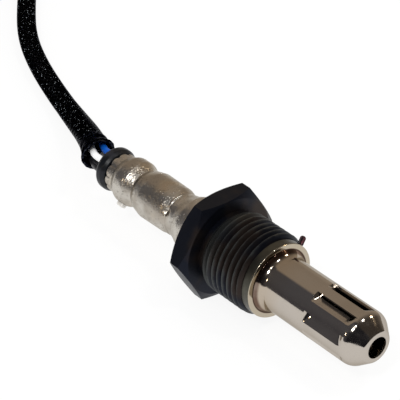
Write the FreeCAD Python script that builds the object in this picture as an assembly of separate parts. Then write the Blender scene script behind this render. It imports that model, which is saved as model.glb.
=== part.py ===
import FreeCAD, Part
import math
import os

os.makedirs("parts", exist_ok=True)
V = FreeCAD.Vector

# Particulate matter sensor for an exhaust pipe, lying on one flat of its hexagon.
# X is the sensor's axis and +X points to the louvred tip, +Z is up, and the origin is on
# the axis at the hexagon's front face, which seats on the exhaust boss. All in millimetres.

# Threaded bushing
hex_across_flats = 22.0
hex_thickness = 4.5
hex_chamfer_inset = 0.2
hex_chamfer_angle = 30.0
thread_major_d = 18.0
thread_length = 12.4
thread_relief_depth = 0.9
thread_relief_length = 1.5
thread_lead_chamfer = 0.75
bushing_wall_at_relief = 1.5

# Steel housing inside the bushing
housing_bore_d = 9.2
housing_front_bore_d = 7.8
insulator_seat = 3.0
collar_wall = 0.9
collar_overrun = 0.5
flange_thickness = 2.1
flange_rim_width = 1.2
flange_edge_chamfer = 0.35
shield_seat_depth = 1.15
rolled_lip = 0.2

# Outer louvred shield
shield_d = 11.9
shield_wall = 0.5
shield_tube_length = 23.5
shield_foot_width = 1.1
shield_foot_thickness = 0.55
shield_foot_bevel = 0.6
shield_shoulder_radius = 2.2
nose_cone_angle = 38.0
nose_lip_radius = 0.9
nose_hole_d = 4.7
nose_face_width = 0.55

# Louvres of the outer shield; the slit of each lies at its first cut's angle
louvre_count = 8
louvre_first_cut = 62.0
louvre_length = 11.0
louvre_past_shoulder = 0.45
louvre_depth = 1.0
louvre_bend_radius = 5.0
louvre_reach_angle = 55.0
louvre_end_angle = 40.0

# Inner shield
inner_shield_wall = 0.35
inner_shield_gap = 0.3
inner_shield_to_nose = 5.25
inner_end_bevel = 0.9
inner_hole_count = 6
inner_hole_d = 1.4
inner_hole_from_flange = 3.75
inner_end_hole_d = 2.2

# Ceramic sensing strip and its packing
strip_width = 4.0
strip_thickness = 1.3
strip_corner_round = 0.3
strip_to_shield_end = 2.8
strip_in_carrier = 8.7
front_insulator_nose_length = 6.0
front_insulator_nose_gap = 0.4
front_insulator_length = 3.9
insulator_chamfer = 0.5
talc_length = 3.6
rear_insulator_length = 4.6
packing_ring_thickness = 0.8
packing_ring_margin = 0.6

# Rear shell, a drawn tube with rolled crimps
shell_wall = 0.45
shell_skirt_wall = 0.55
shell_skirt_overrun = 0.3
shell_shoulder_d = 10.2
shell_shoulder_length = 1.9
shell_neck_d = 9.4
shell_shoulder_to_neck = 2.1
shell_neck_to_barrel = 2.7
shell_barrel_d = 10.5
shell_barrel_length = 6.9
shell_waist_d = 8.1
shell_waist_half_width = 2.5
shell_groove_floor = 0.8
shell_crown_d = 10.45
shell_crown_length = 1.9
shell_rim_d = 8.7
shell_rim_slope = 1.5
shell_rim_length = 4.0
shell_dimple_count = 3
shell_dimple_radius = 1.5
shell_dimple_depth = 0.35
shell_dimple_angle = 150.0

# Contact carrier and contacts
carrier_front_from_skirt = 2.9
carrier_rear_overrun = 0.6
carrier_rear_wall = 1.6
carrier_slot_height = 3.1
carrier_slot_margin = 0.3
clip_ring_length = 5.0
clip_ring_gap = 1.2
contact_width = 1.1
contact_thickness = 0.3
contact_lift = 0.5
contact_flat = 0.6
contact_touch_from_strip_end = 3.0
contact_setback = 1.2
crimp_wall = 0.25
crimp_length = 3.4
crimp_floor = 0.8

# Rubber grommet and the four wires
grommet_bulge_d = 9.76
grommet_bulge_ramp = 1.0
grommet_bulge_width = 1.3
grommet_bulge_length = 3.4
grommet_end_d = 7.0
grommet_front_from_waist = 1.4
wire_d = 1.5
wire_pitch_radius = 2.0
wire_exit_length = 3.7
wire_run_to_sleeve = 5.2
mouth_heading = (-12.0, 6.5, -3.4)

# Small bent lug welded under the shell's crown
lug_length = 2.0
lug_width = 1.6
lug_height = 0.8
lug_corner_round = 0.5
lug_angle = 226.0

# Sleeved lead and its coil
sleeve_d = 5.2
mouth_wall = 0.6
mouth_flare = 0.35
mouth_overhang = 2.4
mouth_grip = 5.0
lead_exit_run = 8.5
lead_in_run = 34.3
coil_radius = 26.5
coil_entry_polar = 51.6
coil_exit_polar = 90.0
coil_stub = 5.0
tail_run = 12.3
tail_turn = 22.5
tail_drop_shares = (0.0, 0.25, 0.7, 1.0)
tail_end_run = 12.6

# Plug
plug_length = 30.0
plug_width = 18.0
plug_height = 14.4
plug_wall = 1.5
plug_corner_round = 2.0
plug_rear_length = 13.0
core_width = 12.0
core_height = 8.0
core_corner_round = 1.0
core_setback = 1.5
wire_chamber_depth = 5.0
cavity_d = 2.6
cavity_pitch = 3.4
lock_border_y = 1.2
lock_border_z = 0.8
lock_pocket_depth = 1.5
lock_thickness = 2.0
seal_thickness = 1.0
seal_length = 4.0
rib_count = 3
rib_pitch = 2.2
rib_width = 1.0
rib_height = 0.7
rib_margin_z = 2.5
latch_width = 6.0
latch_thickness = 1.1
latch_gap = 1.0
latch_setback = 3.0
latch_root = 6.0
latch_foot_length = 2.0
latch_catch_clearance = 0.2
terminal_d = 2.0
terminal_bore_d = 1.1
terminal_bore_length = 10.8
terminal_rear = 8.0
terminal_crimp_depth = 4.0
boot_length = 12.0
boot_grip = 6.0
boot_wall = 1.4
boot_insert = 3.6
boot_insert_wall = 0.8
boot_shoulder = 1.2
plug_wire_offset = 0.95

# Named clearances
fit_gap = 0.05
stack_gap = 0.3
fuse_depth = 0.1

# Values that follow from the sizes above
hex_r = hex_across_flats / math.sqrt(3)
floor_z = -hex_across_flats / 2
bushing_front = thread_length + thread_lead_chamfer
thread_r = thread_major_d / 2
relief_r = thread_r - thread_relief_depth
housing_r = relief_r - bushing_wall_at_relief
bore_r = housing_bore_d / 2
collar_r = bore_r + collar_wall
front_insulator_rear = insulator_seat - front_insulator_length
talc_rear = front_insulator_rear - talc_length
rear_insulator_rear = talc_rear - rear_insulator_length
packing_rear = rear_insulator_rear - packing_ring_thickness
packing_r = bore_r - fit_gap
housing_rear = packing_rear - collar_overrun
shield_r = shield_d / 2
seat_r = shield_r + shield_foot_width
foot_r = seat_r - fit_gap
flange_r = seat_r + flange_rim_width
flange_front = bushing_front + flange_thickness
seat_x = flange_front - shield_seat_depth
foot_x = seat_x + inner_shield_wall
foot_front = foot_x + shield_foot_thickness
shoulder_x = flange_front + shield_tube_length

cone = math.radians(nose_cone_angle)
cone_x = shoulder_x + shield_shoulder_radius * math.sin(cone)
cone_r = shield_r - shield_shoulder_radius * (1 - math.cos(cone))
lip_centre_r = nose_hole_d / 2 + nose_face_width
cone_end_r = lip_centre_r + nose_lip_radius * math.cos(cone)
cone_end_x = cone_x + (cone_r - cone_end_r) / math.tan(cone)
lip_centre_x = cone_end_x - nose_lip_radius * math.sin(cone)
nose_x = lip_centre_x + nose_lip_radius
louvre_end = shoulder_x + louvre_past_shoulder
louvre_start = louvre_end - louvre_length

inner_shield_r = shield_r - shield_wall - louvre_depth - inner_shield_gap
inner_shield_end = nose_x - inner_shield_to_nose
skirt_r = collar_r + fit_gap + shell_skirt_wall
skirt_rear = housing_rear - shell_skirt_overrun
shoulder_end = skirt_rear - shell_shoulder_length
neck_x = shoulder_end - shell_shoulder_to_neck
barrel_front = neck_x - shell_neck_to_barrel
barrel_rear = barrel_front - shell_barrel_length
waist_x = barrel_rear - shell_waist_half_width
crown_front = waist_x - shell_waist_half_width
crown_rear = crown_front - shell_crown_length
rim_x = crown_rear - shell_rim_length
carrier_r = shell_neck_d / 2 - shell_wall - 2 * fit_gap
carrier_front = skirt_rear - carrier_front_from_skirt
carrier_rear = barrel_rear - carrier_rear_overrun
strip_rear = carrier_front - strip_in_carrier
strip_tip = inner_shield_end - strip_to_shield_end
crimp_r = wire_d / 2 + crimp_wall
crimp_front = carrier_rear - stack_gap
crimp_rear = crimp_front - crimp_length
grommet_front = waist_x - grommet_front_from_waist
grommet_rear = rim_x - grommet_bulge_length
wire_bend_x = grommet_rear - wire_exit_length
wire_side = wire_pitch_radius * math.sqrt(0.5)
wire_places = [(-wire_side, wire_side), (wire_side, wire_side),
               (wire_side, -wire_side), (-wire_side, -wire_side)]

sleeve_r = sleeve_d / 2
cord_z = floor_z + sleeve_r
mouth_direction = V(*mouth_heading).normalize()
sleeve_start = V(wire_bend_x, 0, 0) + mouth_direction * wire_run_to_sleeve
throat_r = max(sleeve_r, wire_pitch_radius + wire_d / 2 + 2 * fit_gap)

core_front = plug_length - core_setback
lock_rear = core_front - lock_pocket_depth
boot_mouth_r = core_height / 2 - fit_gap


def polar(radius, degrees, x=0.0):
    """A point at this radius and angle round the X axis, measured from +Y to +Z."""
    a = math.radians(degrees)
    return V(x, radius * math.cos(a), radius * math.sin(a))


def profile(points):
    """Edges through (x, r) points; a point written as (x, r, 'via') is the middle of an arc."""
    edges = []
    start = V(points[0][0], 0, points[0][1])
    i = 1
    while i < len(points):
        middle = None
        if len(points[i]) == 3:
            middle = V(points[i][0], 0, points[i][1])
            i += 1
        end = V(points[i][0], 0, points[i][1])
        edge = Part.Arc(start, middle, end) if middle else Part.LineSegment(start, end)
        edges.append(edge.toShape())
        start = end
        i += 1
    return edges


def turned(points):
    """The solid that a closed (x, r) outline makes when it is turned about the X axis."""
    edges = profile(list(points) + [points[0][:2]])
    face = Part.Face(Part.Wire(edges))
    return face.revolve(V(0, 0, 0), V(1, 0, 0), 360)


def cylinder(radius, x0, x1, y=0.0, z=0.0):
    return Part.makeCylinder(radius, x1 - x0, V(x0, y, z), V(1, 0, 0))


def box(x0, x1, width, height, y=0.0, z=0.0):
    return Part.makeBox(x1 - x0, width, height, V(x0, y - width / 2, z - height / 2))


def rounded_box(x0, x1, width, height, radius):
    solid = box(x0, x1, width, height)
    along_x = [e for e in solid.Edges if abs(e.tangentAt(0).x) > 0.99]
    return solid.makeFillet(radius, along_x)


def export(name, shape):
    if len(shape.Solids) == 1:
        shape = shape.Solids[0]
    assert shape.isValid() and shape.Solids, name
    shape.exportStep("parts/%s.step" % name)
    print("%-20s solids %d volume %9.2f mm3" % (name, len(shape.Solids), shape.Volume))


# Threaded bushing: a hexagon with turned corners, a relief groove and the thread's major
# cylinder, in which the thread itself is cut.
def hex_bushing():
    corners = [polar(hex_r, 60 * k, -hex_thickness) for k in range(7)]
    prism = Part.Face(Part.makePolygon(corners)).extrude(V(hex_thickness, 0, 0))
    face_r = hex_across_flats / 2 - hex_chamfer_inset
    slope = (hex_r - face_r) * math.tan(math.radians(hex_chamfer_angle))
    rear = -hex_thickness
    blank = turned([(rear, 0), (rear, face_r), (rear + slope, hex_r), (-slope, hex_r), (0, face_r), (0, 0)])
    run_out = thread_relief_length + thread_relief_depth
    stem = turned([(rear / 2, 0), (rear / 2, relief_r), (thread_relief_length, relief_r),
                   (run_out, thread_r), (thread_length, thread_r),
                   (bushing_front, thread_r - thread_lead_chamfer), (bushing_front, 0)])
    body = prism.common(blank).fuse(stem).removeSplitter()
    return body.cut(cylinder(housing_r + fit_gap, rear - 1, bushing_front + 1))


# Housing: turned steel, with the flange that stops the bushing, a seat for the two shields
# under a rolled lip, and a bore that steps in to carry the ceramic.
def sensor_housing():
    front_bore_r = housing_front_bore_d / 2
    lip_r = seat_r - rolled_lip
    edge = flange_edge_chamfer
    return turned([(housing_rear, bore_r), (housing_rear, collar_r), (-hex_thickness, collar_r),
                   (-hex_thickness, housing_r), (bushing_front, housing_r), (bushing_front, flange_r),
                   (flange_front - edge, flange_r), (flange_front, flange_r - edge),
                   (flange_front, lip_r), (foot_front, lip_r), (foot_front, seat_r),
                   (seat_x, seat_r), (seat_x, front_bore_r),
                   (insulator_seat, front_bore_r), (insulator_seat, bore_r)])


# Outer shield: one drawn cup whose foot is clamped under the lip, with a coned nose and
# a ring of louvres pressed in, each slit along one side and closed round its other three.
def nose_points(inset):
    """(x, r) from the tube's straight wall to the nose's flat face, this far inside."""
    corner_r = shield_r - shield_shoulder_radius
    turn, lip = shield_shoulder_radius - inset, nose_lip_radius - inset
    half_lip = (cone + math.pi / 2) / 2
    return [(shoulder_x, shield_r - inset),
            (shoulder_x + turn * math.sin(cone / 2), corner_r + turn * math.cos(cone / 2)),
            (shoulder_x + turn * math.sin(cone), corner_r + turn * math.cos(cone)),
            (lip_centre_x + lip * math.sin(cone), lip_centre_r + lip * math.cos(cone)),
            (lip_centre_x + lip * math.sin(half_lip), lip_centre_r + lip * math.cos(half_lip)),
            (nose_x - inset, lip_centre_r)]


def shield_blank():
    outer = [(foot_front, foot_r), (foot_front, shield_r + shield_foot_bevel),
             (foot_front + shield_foot_bevel, shield_r)]
    skin = nose_points(0.0)
    skin[1] += ("via",)
    inner = nose_points(shield_wall)[::-1]
    return turned(outer + skin + [(nose_x, nose_hole_d / 2), (nose_x - shield_wall, nose_hole_d / 2)]
                  + inner + [(foot_x, shield_r - shield_wall), (foot_x, foot_r)])


def louvre_form(grow):
    """One louvre's dent, pressed by a rounded die whose straight edge lies on the slit at the
    top of the tube and whose ends slope; the form is larger all round by this much."""
    radius = louvre_bend_radius + grow
    centre = shield_r - louvre_depth + louvre_bend_radius
    reach = math.radians(louvre_reach_angle)

    def on_arc(a):
        return V(louvre_start, -radius * math.sin(a), centre - radius * math.cos(a))

    top, deep = on_arc(reach), on_arc(0)
    section = Part.Face(Part.Wire([
        Part.Arc(deep, on_arc(reach / 2), top).toShape(),
        Part.LineSegment(top, V(louvre_start, 0, top.z)).toShape(),
        Part.LineSegment(V(louvre_start, 0, top.z), deep).toShape()]))
    bar = section.extrude(V(louvre_length, 0, 0))
    rise = top.z - deep.z
    slope = rise / math.tan(math.radians(louvre_end_angle))
    middle = (louvre_start + louvre_end) / 2
    half = louvre_length / 2 - louvre_depth / math.tan(math.radians(louvre_end_angle)) + grow
    ends = [V(middle - half, top.y, deep.z), V(middle + half, top.y, deep.z),
            V(middle + half + slope, top.y, top.z), V(middle - half - slope, top.y, top.z)]
    wedge = Part.Face(Part.makePolygon(ends + ends[:1])).extrude(V(0, -top.y, 0))
    return bar.common(wedge)


def outer_shield():
    envelope = cylinder(shield_r, foot_front + shield_foot_bevel, louvre_end)
    die = louvre_form(0.0)
    pressed = louvre_form(shield_wall).common(envelope)
    walls, dents = [], []
    for k in range(louvre_count):
        angle = louvre_first_cut + 360.0 * k / louvre_count - 90
        for form, group in ((pressed, walls), (die, dents)):
            copy = form.copy()
            copy.rotate(V(0, 0, 0), V(1, 0, 0), angle)
            group.append(copy)
    return shield_blank().fuse(walls).cut(dents)


# Inner shield: a smaller drawn cup with gas holes near its foot and one in its end.
def inner_shield():
    r, wall, corner, end = inner_shield_r, inner_shield_wall, inner_end_bevel, inner_shield_end
    body = turned([(seat_x, foot_r), (seat_x + wall, foot_r), (seat_x + wall, r), (end - corner, r),
                   (end, r - corner), (end, inner_end_hole_d / 2), (end - wall, inner_end_hole_d / 2),
                   (end - wall, r - corner), (end - corner, r - wall), (seat_x, r - wall)])
    for k in range(inner_hole_count):
        drill = Part.makeCylinder(inner_hole_d / 2, r + 1, V(flange_front + inner_hole_from_flange, 0, 0),
                                  polar(1, 360.0 * k / inner_hole_count))
        body = body.cut(drill)
    return body


# Sensing strip: a flat alumina bar with rounded corners.
def sensing_strip():
    strip = box(strip_rear, strip_tip, strip_width, strip_thickness)
    corners = [e for e in strip.Edges if abs(e.tangentAt(0).z) > 0.99]
    return strip.makeFillet(strip_corner_round, corners)


def cut_strip_slot(body, x0, x1):
    return body.cut(box(x0 - 1, x1 + 1, strip_width + 2 * fit_gap, strip_thickness + 2 * fit_gap))


# Packing of the strip: a ceramic bushing on the bore's step, pressed talc, a second bushing
# and a steel ring that closes the stack.
def front_insulator():
    nose_r = housing_front_bore_d / 2 - front_insulator_nose_gap
    nose_end = insulator_seat + front_insulator_nose_length
    body = turned([(front_insulator_rear, 0), (front_insulator_rear, packing_r),
                   (insulator_seat, packing_r), (insulator_seat, nose_r),
                   (nose_end - insulator_chamfer, nose_r), (nose_end, nose_r - insulator_chamfer),
                   (nose_end, 0)])
    return cut_strip_slot(body, front_insulator_rear, nose_end)


def talc_packing():
    return cut_strip_slot(cylinder(packing_r, talc_rear, front_insulator_rear),
                          talc_rear, front_insulator_rear)


def rear_insulator():
    return cut_strip_slot(cylinder(packing_r, rear_insulator_rear, talc_rear),
                          rear_insulator_rear, talc_rear)


def packing_ring():
    opening = math.hypot(strip_width, strip_thickness) / 2 + packing_ring_margin
    body = cylinder(packing_r, packing_rear, rear_insulator_rear)
    return body.cut(cylinder(opening, packing_rear - 1, rear_insulator_rear + 1))


# Rear shell: drawn stainless tube, swaged over the housing's collar and rolled in at the
# neck, at the waist that holds the grommet and at the rim.
def shell_solid(inset, x_end):
    """What lies inside the shell's outline moved in by this much, closed to the axis."""
    shoulder, neck = shell_shoulder_d / 2 - inset, shell_neck_d / 2 - inset
    barrel, waist = shell_barrel_d / 2 - inset, shell_waist_d / 2 - inset
    crown, rim = shell_crown_d / 2 - inset, shell_rim_d / 2 - inset
    groove = shell_groove_floor / 2
    return turned([(-hex_thickness, 0), (-hex_thickness, skirt_r - inset), (skirt_rear, skirt_r - inset),
                   (shoulder_end, shoulder), (neck_x + groove, neck), (neck_x - groove, neck),
                   (barrel_front, barrel), (barrel_rear, barrel),
                   (waist_x + groove, waist), (waist_x - groove, waist),
                   (crown_front, crown), (crown_rear, crown), (crown_rear - shell_rim_slope, rim),
                   (x_end, rim), (x_end, 0)])


def rear_shell():
    body = shell_solid(0.0, rim_x - 1).cut(shell_solid(shell_wall, rim_x - 1))
    body = body.cut(cylinder(collar_r + fit_gap, skirt_rear, 0))
    body = body.cut(cylinder(shell_rim_d, rim_x - 2, rim_x))
    middle = shell_neck_d / 2 - shell_dimple_depth + shell_dimple_radius
    for k in range(shell_dimple_count):
        angle = shell_dimple_angle + 360.0 * k / shell_dimple_count
        body = body.cut(Part.makeSphere(shell_dimple_radius, polar(middle, angle, neck_x)))
    return body


# Contact carrier: a ceramic drum with a slot for the strip's tail and its springs, held in
# the shell's barrel by a split spring ring.
def contact_carrier():
    body = cylinder(carrier_r, carrier_rear, carrier_front)
    body = body.cut(box(carrier_rear + carrier_rear_wall, carrier_front + 1,
                        strip_width + 2 * carrier_slot_margin, carrier_slot_height))
    for y, z in wire_places:
        body = body.cut(cylinder(wire_d / 2 + fit_gap, carrier_rear - 1,
                                 carrier_rear + carrier_rear_wall + 1, y, z))
    return body


def clip_ring():
    middle = (barrel_front + barrel_rear) / 2
    x0, x1 = middle - clip_ring_length / 2, middle + clip_ring_length / 2
    inner, outer = carrier_r + fit_gap, shell_barrel_d / 2 - shell_wall - fit_gap
    ring = cylinder(outer, x0, x1).cut(cylinder(inner, x0 - 1, x1 + 1))
    return ring.cut(box(x0 - 1, x1 + 1, outer, clip_ring_gap, outer, 0))


# Contacts: four sprung strips, two on each face of the ceramic strip, each with the barrel
# that is crimped on its wire.
def contact(y, z):
    side = math.copysign(1, z)
    face = side * strip_thickness / 2
    seat = side * (carrier_slot_height / 2 - contact_thickness - 2 * fit_gap)
    front, back = carrier_front - contact_setback, carrier_rear + carrier_rear_wall + fit_gap
    touch = strip_rear + contact_touch_from_strip_end
    under = [(front, face + side * contact_lift), (touch + contact_flat / 2, face),
             (touch - contact_flat / 2, face), (back, seat)]
    over = [(x, h + side * contact_thickness) for x, h in reversed(under)]
    corners = [V(x, y - contact_width / 2, h) for x, h in under + over]
    blade = Part.Face(Part.makePolygon(corners + [corners[0]])).extrude(V(0, contact_width, 0))
    tail = box(crimp_front - fuse_depth, back + fuse_depth, contact_width, contact_thickness,
               y, seat + side * contact_thickness / 2)
    barrel = cylinder(crimp_r, crimp_rear, crimp_front, y, z)
    barrel = barrel.cut(cylinder(wire_d / 2, crimp_rear - 1, crimp_front - crimp_floor, y, z))
    return blade.fuse([tail, barrel]).removeSplitter()


# Grommet: rubber, filling the shell behind its waist and bulging out behind the rim.
def wire_grommet():
    inside = shell_solid(shell_wall + fit_gap, rim_x - 1)
    plug = inside.common(cylinder(shell_crown_d, rim_x, grommet_front))
    r, end_r = grommet_bulge_d / 2, grommet_end_d / 2
    bulge_front = rim_x - grommet_bulge_ramp
    bulge_rear = bulge_front - grommet_bulge_width
    bulge = turned([(rim_x, 0), (rim_x, shell_rim_d / 2 - fuse_depth), (bulge_front, r), (bulge_rear, r),
                    (grommet_rear, end_r), (grommet_rear, 0)])
    body = plug.fuse(bulge).removeSplitter()
    for y, z in wire_places:
        body = body.cut(cylinder(wire_d / 2 + fit_gap, grommet_rear - 1, grommet_front + 1, y, z))
        body = body.cut(cylinder(crimp_r + fit_gap, crimp_rear, grommet_front + 1, y, z))
    return body


def rear_lug():
    crown_r = shell_crown_d / 2
    middle = (crown_front + crown_rear) / 2
    lug = box(middle - lug_length / 2, middle + lug_length / 2, lug_width, 2 * lug_height, 0, crown_r)
    lug = lug.makeFillet(lug_corner_round, [e for e in lug.Edges if abs(e.tangentAt(0).z) > 0.99])
    lug = lug.cut(shell_solid(0.0, rim_x - 1))
    lug.rotate(V(0, 0, 0), V(1, 0, 0), lug_angle - 90)
    return lug


def rounded_path(points, name):
    """Straight runs joined by tangent arcs, each as large as its two runs allow."""
    edges, radii = [], []
    start = points[0]
    for a, b, c in zip(points, points[1:], points[2:]):
        run_in, run_out = (b - a).normalize(), (c - b).normalize()
        half_turn = run_in.getAngle(run_out) / 2
        setback = 0.45 * min((b - a).Length, (c - b).Length)
        radius = setback / math.tan(half_turn)
        p, q = b - run_in * setback, b + run_out * setback
        inward = (run_out - run_in).normalize()
        middle = b + inward * (radius / math.cos(half_turn) - radius)
        edges += [Part.LineSegment(start, p).toShape(), Part.Arc(p, middle, q).toShape()]
        radii.append(radius)
        start = q
    edges.append(Part.LineSegment(start, points[-1]).toShape())
    print("%s radii %s" % (name, " ".join("%.1f" % r for r in radii)))
    return Part.Wire(edges)


def tube_along(points, diameter, name):
    path = rounded_path(points, name)
    direction = (points[1] - points[0]).normalize()
    circle = Part.Wire(Part.Circle(points[0], direction, diameter / 2).toShape())
    solid = path.makePipeShell([circle], True, False)
    section = math.pi * diameter ** 2 / 4
    print("%s length %.2f volume over section x length %.5f"
          % (name, path.Length, solid.Volume / (section * path.Length)))
    return solid


# Wires: from the crimps through the grommet, bending together towards the sleeve's mouth.
def wire(y, z, name):
    corner = V(wire_bend_x, y, z)
    run = (sleeve_start - corner).dot(mouth_direction)
    return tube_along([V(crimp_front - crimp_floor, y, z), corner, corner + mouth_direction * run],
                      wire_d, name)


# Sleeve mouth: the sleeve's melted end, flared open round the wires.
def sleeve_mouth():
    lip_r = throat_r + mouth_flare
    body = turned([(-mouth_overhang, lip_r), (-mouth_overhang, lip_r + mouth_wall), (0, lip_r + mouth_wall),
                   (mouth_grip / 2, sleeve_r + mouth_wall), (mouth_grip, sleeve_r + mouth_wall),
                   (mouth_grip, sleeve_r), (0, sleeve_r), (0, throat_r)])
    body.rotate(V(0, 0, 0), V(1, 0, 0).cross(mouth_direction),
                math.degrees(V(1, 0, 0).getAngle(mouth_direction)))
    body.translate(sleeve_start)
    return body


# Lead: four wires in a braided sleeve. It drops from the grommet to the floor, runs back
# and away, and the rest is wound in a neat round coil with its plug beside it.
def outward(degrees):
    """The way out from the coil's centre at this place on it."""
    a = math.radians(degrees)
    return V(math.cos(a), math.sin(a), 0)


def heading(degrees):
    """Direction of travel, anticlockwise seen from above, at this place on the coil."""
    return outward(degrees + 90)


sleeve_route = [sleeve_start,
                sleeve_start + mouth_direction * lead_exit_run,
                V(-65.6, 11.4, -6.6),
                V(-78.2, 15.9, cord_z),
                V(-92.9, 20.8, cord_z),
                V(-105.6, 26.6, cord_z),
                V(-117.6, 34.9, cord_z)]
sleeve_end = sleeve_route[-1] + heading(coil_entry_polar) * lead_in_run
sleeve_route.append(sleeve_end)
coil_in = sleeve_end + heading(coil_entry_polar) * coil_stub
coil_centre = coil_in - outward(coil_entry_polar) * coil_radius
coil_out = coil_centre + outward(coil_exit_polar) * coil_radius + V(0, 0, 2 * sleeve_d)

# The tail leaves the top layer, bends round outside the coil and comes down to the plug.
plug_axis_z = floor_z + plug_height / 2
tail_drop = coil_out.z - plug_axis_z
tail_way = coil_exit_polar
tail_route = [coil_out + heading(tail_way) * coil_stub]
for share in tail_drop_shares:
    corner = tail_route[-1] + heading(tail_way) * tail_run
    corner.z = coil_out.z - share * tail_drop
    tail_route.append(corner)
    tail_way += tail_turn
tail_direction = heading(tail_way)
tail_route.append(tail_route[-1] + tail_direction * tail_end_run)
tail_route[-1].z = plug_axis_z
plug_origin = tail_route[-1] + tail_direction * (boot_length - boot_grip)


def turn_section(polar_angle, lowest, highest):
    """Section of the turns from this layer up to that one, as an eight-sided outline."""
    out = outward(polar_angle)
    foot = coil_centre + out * coil_radius

    def at(side, z):
        return foot + out * side + V(0, 0, z)

    r, low, high = sleeve_r, lowest * sleeve_d, highest * sleeve_d
    bevel = r * math.tan(math.pi / 8)
    corners = [at(-bevel, low - r), at(bevel, low - r), at(r, low - bevel), at(r, high + bevel),
               at(bevel, high + r), at(-bevel, high + r), at(-r, high + bevel), at(-r, low - bevel)]
    return Part.Face(Part.makePolygon(corners + corners[:1]))


# Coil: layers of one turn each. The incoming lead lies in the lowest layer until it meets
# the ring, the third layer ends where the tail leaves, and both keep a short straight end.
def cable_coil():
    lead_in_cosine = 1 - (sleeve_d + stack_gap) / coil_radius
    full_turn = coil_entry_polar + 360
    lead_in_polar = full_turn - math.degrees(math.acos(lead_in_cosine))
    stretches = [(coil_entry_polar, coil_exit_polar, 0, 2),
                 (coil_exit_polar, lead_in_polar, 0, 1),
                 (lead_in_polar, full_turn, 1, 2)]
    turns = [turn_section(start, lowest, highest).revolve(coil_centre, V(0, 0, 1), end - start)
             for start, end, lowest, highest in stretches]
    stubs = [Part.makeCylinder(sleeve_r, coil_stub, end, inner - end)
             for end, inner in ((sleeve_end, coil_in), (tail_route[0], coil_out))]
    return turns[0].fuse(turns[1:] + stubs)


# Plug: a moulded housing with an open skirt and a latch on top, a core for four contacts
# set in its back, a face seal on the core, a lock plate in its front and a boot behind. It
# is modelled along +X from its rear face and then laid at the lead's end.
cavity_places = [(sy * cavity_pitch / 2, sz * cavity_pitch / 2) for sy in (-1, 1) for sz in (-1, 1)]


def laid_at_end(solid):
    placed = solid.copy()
    placed.rotate(V(0, 0, 0), V(0, 0, 1), math.degrees(math.atan2(tail_direction.y, tail_direction.x)))
    placed.translate(plug_origin)
    return placed


def plug_housing():
    body = rounded_box(0, plug_length, plug_width, plug_height, plug_corner_round)
    inner_round = max(plug_corner_round - plug_wall, plug_wall / 2)
    body = body.cut(rounded_box(plug_rear_length, plug_length + 1, plug_width - 2 * plug_wall,
                                plug_height - 2 * plug_wall, inner_round))
    body = body.cut(rounded_box(wire_chamber_depth, plug_rear_length + 1, core_width + 2 * fit_gap,
                                core_height + 2 * fit_gap, core_corner_round + fit_gap))
    body = body.cut(cylinder(core_height / 2, -1, wire_chamber_depth + 1))
    added = []
    for k in range(rib_count):
        x = (k + 1.4) * rib_pitch
        for side in (-1, 1):
            added.append(box(x, x + rib_width, 2 * rib_height, plug_height - 2 * rib_margin_z,
                             side * plug_width / 2, 0))
    top = plug_height / 2
    arm_front = plug_length - latch_setback
    arm_z = top + latch_gap + latch_thickness / 2
    added.append(box(latch_root, arm_front, latch_width, latch_thickness, 0, arm_z))
    added.append(box(latch_root, latch_root + latch_foot_length, latch_width,
                     2 * (latch_gap + fuse_depth), 0, top))
    catch_height = latch_gap - latch_catch_clearance + fuse_depth
    added.append(box(arm_front - latch_foot_length, arm_front, latch_width, catch_height,
                     0, top + latch_catch_clearance + catch_height / 2))
    return body.fuse(added).removeSplitter()


def plug_core():
    body = rounded_box(wire_chamber_depth, core_front, core_width, core_height, core_corner_round)
    for y, z in cavity_places:
        body = body.cut(cylinder(cavity_d / 2, wire_chamber_depth - 1, plug_length, y, z))
    return body.cut(box(lock_rear, plug_length, core_width - 2 * lock_border_y + 2 * fit_gap,
                        core_height - 2 * lock_border_z + 2 * fit_gap))


def plug_lock():
    plate = box(lock_rear, lock_rear + lock_thickness, core_width - 2 * lock_border_y,
                core_height - 2 * lock_border_z)
    for y, z in cavity_places:
        plate = plate.cut(cylinder(terminal_bore_d / 2 + stack_gap, lock_rear - 1, plug_length, y, z))
    return plate


def plug_seal():
    seat = plug_rear_length
    outer = rounded_box(seat, seat + seal_length, core_width + 2 * seal_thickness,
                        core_height + 2 * seal_thickness, core_corner_round + seal_thickness)
    return outer.cut(rounded_box(seat - 1, seat + seal_length + 1, core_width + 2 * fit_gap,
                                 core_height + 2 * fit_gap, core_corner_round))


def plug_terminals():
    made = []
    front = lock_rear - fit_gap
    for y, z in cavity_places:
        barrel = cylinder(terminal_d / 2, terminal_rear, front, y, z)
        barrel = barrel.cut(cylinder(terminal_bore_d / 2, front - terminal_bore_length, front + 1, y, z))
        made.append(barrel.cut(cylinder(wire_d / 2, terminal_rear - 1,
                                        terminal_rear + terminal_crimp_depth, y, z)))
    return Part.makeCompound(made)


def plug_wires():
    made = []
    for y, z in cavity_places:
        near_y, near_z = math.copysign(plug_wire_offset, y), math.copysign(plug_wire_offset, z)
        path = Part.makePolygon([V(boot_grip - boot_length + 2 * fit_gap, near_y, near_z),
                                 V(wire_chamber_depth, y, z),
                                 V(terminal_rear + terminal_crimp_depth, y, z)])
        first = path.Edges[0]
        circle = Part.Wire(Part.Circle(first.Vertexes[0].Point, first.tangentAt(0), wire_d / 2).toShape())
        made.append(path.makePipeShell([circle], True, False, 1))
    return Part.makeCompound(made)


def plug_boot():
    collar = plug_height / 2 - boot_shoulder
    return turned([(-boot_length, sleeve_r), (-boot_length, sleeve_r + boot_wall),
                   (boot_grip - boot_length, sleeve_r + boot_wall), (0, collar), (0, boot_mouth_r),
                   (boot_insert, boot_mouth_r),
                   (boot_insert, boot_mouth_r - boot_insert_wall), (0, boot_mouth_r - boot_insert_wall),
                   (boot_grip - boot_length, sleeve_r)])


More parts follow.
